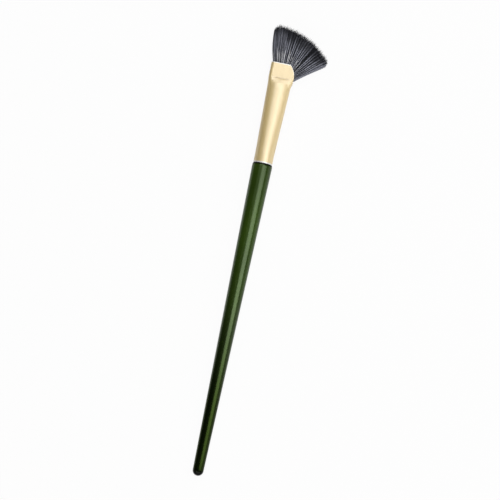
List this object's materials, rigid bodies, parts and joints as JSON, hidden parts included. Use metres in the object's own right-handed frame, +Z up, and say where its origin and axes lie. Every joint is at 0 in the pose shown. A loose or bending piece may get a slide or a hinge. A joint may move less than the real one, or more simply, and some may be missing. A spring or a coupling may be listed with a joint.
{
  "type": "nose contour brush",
  "caption": "Slim make-up brush with a tapered lacquered wooden handle, a gold ferrule pressed flat at a corner-cut mouth, and a side-swept fan of dark filaments.",
  "frame": {"origin": "on the surface that the brush lies on, below the middle of its bounding box", "axes": "+Y runs along the brush from the tail of its handle to its head, +Z is up, and +X is the side that the fan opens to"},
  "size_m": [0.0218, 0.1762, 0.0078],
  "materials": {
    "green_lacquer": "gloss",
    "gold_aluminium": "satin",
    "cured_glue": "gloss",
    "dark_filament": "satin"
  },
  "bodies": {
    "root": {"handle": "green_lacquer", "ferrule": "gold_aluminium", "glue_plug": "cured_glue", "bristle_tuft": "dark_filament"}
  },
  "joints": []
}
